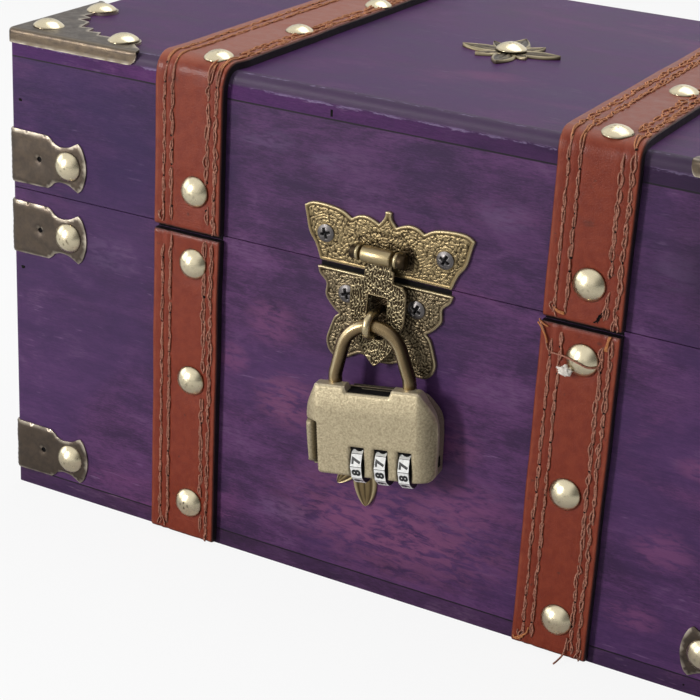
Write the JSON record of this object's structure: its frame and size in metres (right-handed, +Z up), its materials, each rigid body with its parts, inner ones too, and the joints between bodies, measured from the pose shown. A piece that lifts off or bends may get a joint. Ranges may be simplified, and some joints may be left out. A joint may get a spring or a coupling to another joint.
{
  "type": "treasure chest box",
  "caption": "Wooden treasure chest box with a hinged lid, leather straps held by dome tacks, edge brackets, corner caps, a butterfly hasp and a combination padlock",
  "frame": {"origin": "middle of the underside of the bottom board", "axes": "+X to the right along the front, seen from the front; +Y from the front to the back; +Z up"},
  "size_m": [0.2876, 0.1958, 0.171],
  "materials": {
    "purple_wood": "stained and satin varnished",
    "top_wood": "stained and satin varnished",
    "base_wood": "stained and satin varnished",
    "strap_leather": "smooth, stitched along both edges",
    "pale_brass": "polished",
    "dark_bronze": "antiqued",
    "antique_brass": "antiqued, pressed relief",
    "lock_brass": "satin, mottled",
    "shackle_brass": "satin",
    "screw_steel": "plain",
    "pin_steel": "plain",
    "hinge_brass": "antiqued",
    "dial_white": "gloss"
  },
  "bodies": {
    "base": {"bottom_board": "base_wood", "base_front_panel": "purple_wood", "base_back_panel": "purple_wood", "base_left_panel": "purple_wood", "base_right_panel": "purple_wood", "base_strap_front_left": "strap_leather", "base_strap_front_right": "strap_leather", "base_strap_back_left": "strap_leather", "base_strap_back_right": "strap_leather", "base_strap_tacks": "pale_brass", "base_bracket_tacks": "pale_brass", "base_lower_bracket_front_left": "dark_bronze", "base_lower_bracket_front_right": "dark_bronze", "base_lower_bracket_back_left": "dark_bronze", "base_lower_bracket_back_right": "dark_bronze", "base_upper_bracket_front_left": "dark_bronze", "base_upper_bracket_front_right": "dark_bronze", "base_upper_bracket_back_left": "dark_bronze", "base_upper_bracket_back_right": "dark_bronze", "hasp_base_plate": "antique_brass", "hasp_base_screws": "screw_steel", "hasp_staple": "antique_brass", "front_emblem": "antique_brass", "hinge_base_leaf_left": "hinge_brass", "hinge_base_leaf_right": "hinge_brass", "hinge_base_screws": "screw_steel", "hinge_pins": "pin_steel"},
    "lid": {"lid_top_board": "top_wood", "lid_front_rail": "purple_wood", "lid_back_rail": "purple_wood", "lid_left_rail": "purple_wood", "lid_right_rail": "purple_wood", "lid_strap_left": "strap_leather", "lid_strap_right": "strap_leather", "lid_strap_tacks": "pale_brass", "lid_bracket_tacks": "pale_brass", "lid_corner_cap_front_left": "dark_bronze", "lid_corner_cap_front_right": "dark_bronze", "lid_corner_cap_back_left": "dark_bronze", "lid_corner_cap_back_right": "dark_bronze", "lid_bracket_front_left": "dark_bronze", "lid_bracket_front_right": "dark_bronze", "lid_bracket_back_left": "dark_bronze", "lid_bracket_back_right": "dark_bronze", "lid_emblem": "antique_brass", "hasp_lid_plate": "antique_brass", "hasp_lid_screws": "screw_steel", "hasp_pin": "antique_brass", "hinge_lid_leaf_left": "hinge_brass", "hinge_lid_leaf_right": "hinge_brass", "hinge_lid_screws": "screw_steel"},
    "flap": {"hasp_flap": "antique_brass"},
    "shackle": {"padlock_shackle": "shackle_brass"},
    "lock_body": {"padlock_front_shell": "lock_brass", "padlock_back_shell": "lock_brass", "padlock_spindle": "pin_steel"},
    "dial_left": {"padlock_dial_left": "dial_white"},
    "dial_middle": {"padlock_dial_middle": "dial_white"},
    "dial_right": {"padlock_dial_right": "dial_white"}
  },
  "joints": [
    {"name": "lid_hinge", "type": "hinge", "parent": "base", "child": "lid", "pos_m": [0, 0.0885, 0.11115], "axis": [-1, 0, 0], "range_deg": [0, 110]},
    {"name": "flap_hinge", "type": "hinge", "parent": "lid", "child": "flap", "pos_m": [0.0028, -0.0901, 0.118], "axis": [-1, 0, 0], "range_deg": [0, 179]},
    {"name": "shackle_swing", "type": "hinge", "parent": "base", "child": "shackle", "pos_m": [0.0028, -0.0941, 0.09681], "axis": [-1, 0, 0], "range_deg": [0, 60]},
    {"name": "lock_drop", "type": "slide", "parent": "shackle", "child": "lock_body", "axis": [0.1009, -0.0323, -0.9944], "range_m": [0, 0.007]},
    {"name": "dial_left_turn", "type": "hinge", "parent": "lock_body", "child": "dial_left", "pos_m": [0.00389, -0.09631, 0.05214], "axis": [0.9863, 0.1342, 0.0957], "continuous": true},
    {"name": "dial_middle_turn", "type": "hinge", "parent": "lock_body", "child": "dial_middle", "pos_m": [0.01158, -0.09526, 0.05288], "axis": [0.9863, 0.1342, 0.0957], "continuous": true},
    {"name": "dial_right_turn", "type": "hinge", "parent": "lock_body", "child": "dial_right", "pos_m": [0.01927, -0.09421, 0.05363], "axis": [0.9863, 0.1342, 0.0957], "continuous": true}
  ]
}
